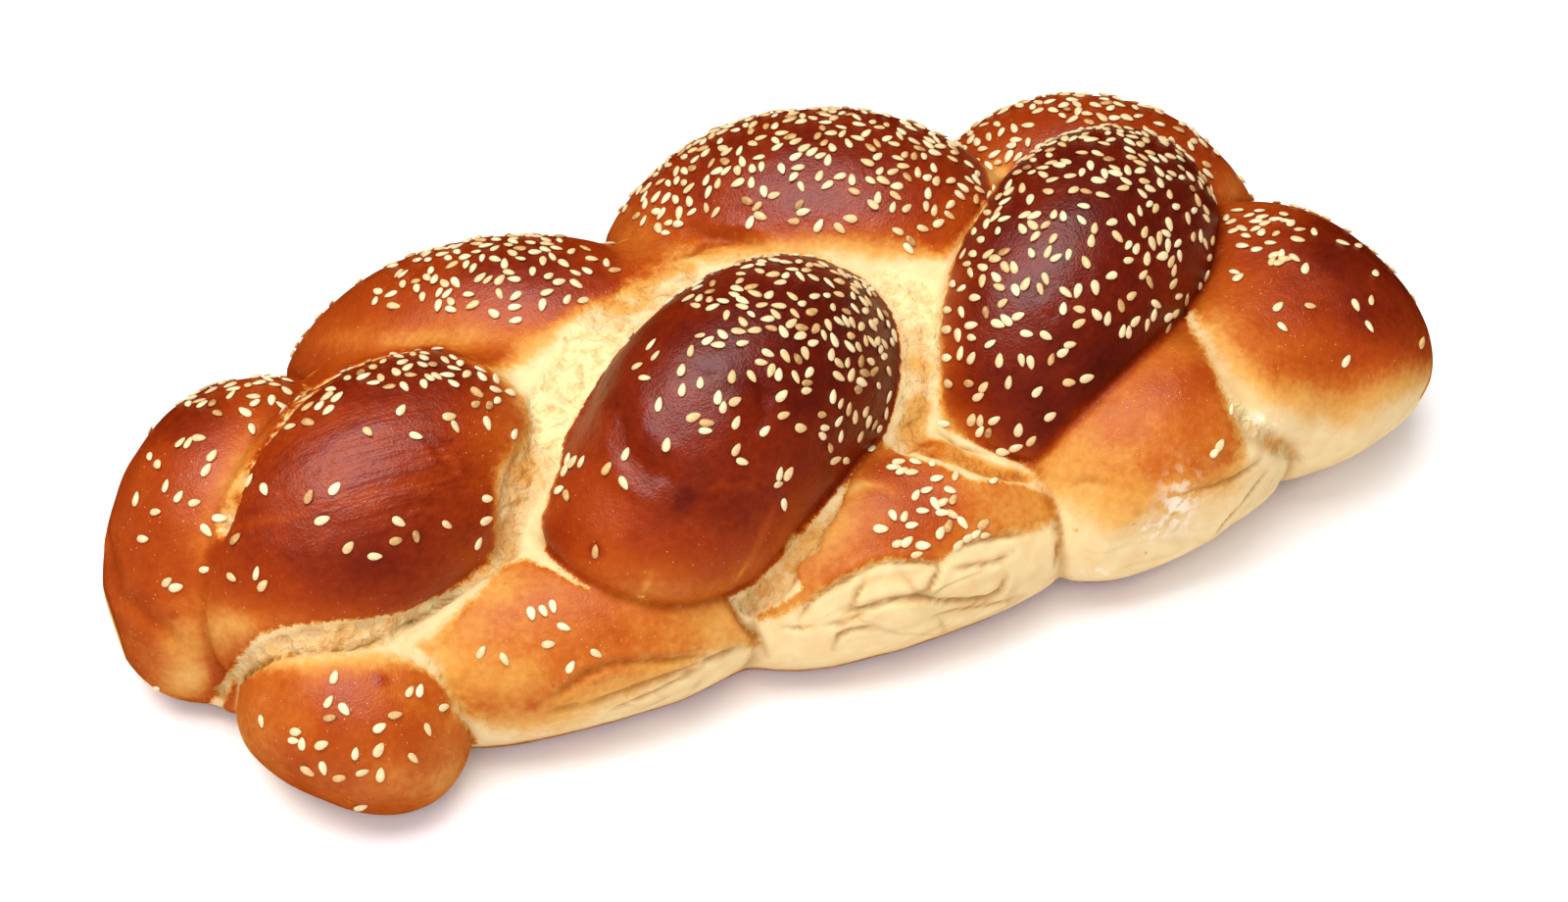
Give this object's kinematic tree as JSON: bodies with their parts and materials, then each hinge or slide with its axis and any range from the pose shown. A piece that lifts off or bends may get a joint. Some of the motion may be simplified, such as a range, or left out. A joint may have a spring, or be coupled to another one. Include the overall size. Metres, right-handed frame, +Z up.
{
  "type": "challah",
  "caption": "Braided loaf of egg bread with glossy brown crests, pale torn crumb between them and a scatter of sesame seeds, lying on its flat base.",
  "frame": {"origin": "middle of the loaf's box, on its flat base", "axes": "+X along the loaf, +Y towards the far side, +Z up"},
  "size_m": [0.2786, 0.131, 0.0695],
  "materials": {
    "crust": "egg-washed brown crust with a soft gloss, fading to pale crumb in the gaps"
  },
  "bodies": {
    "root": {"challah": "crust"}
  },
  "joints": []
}
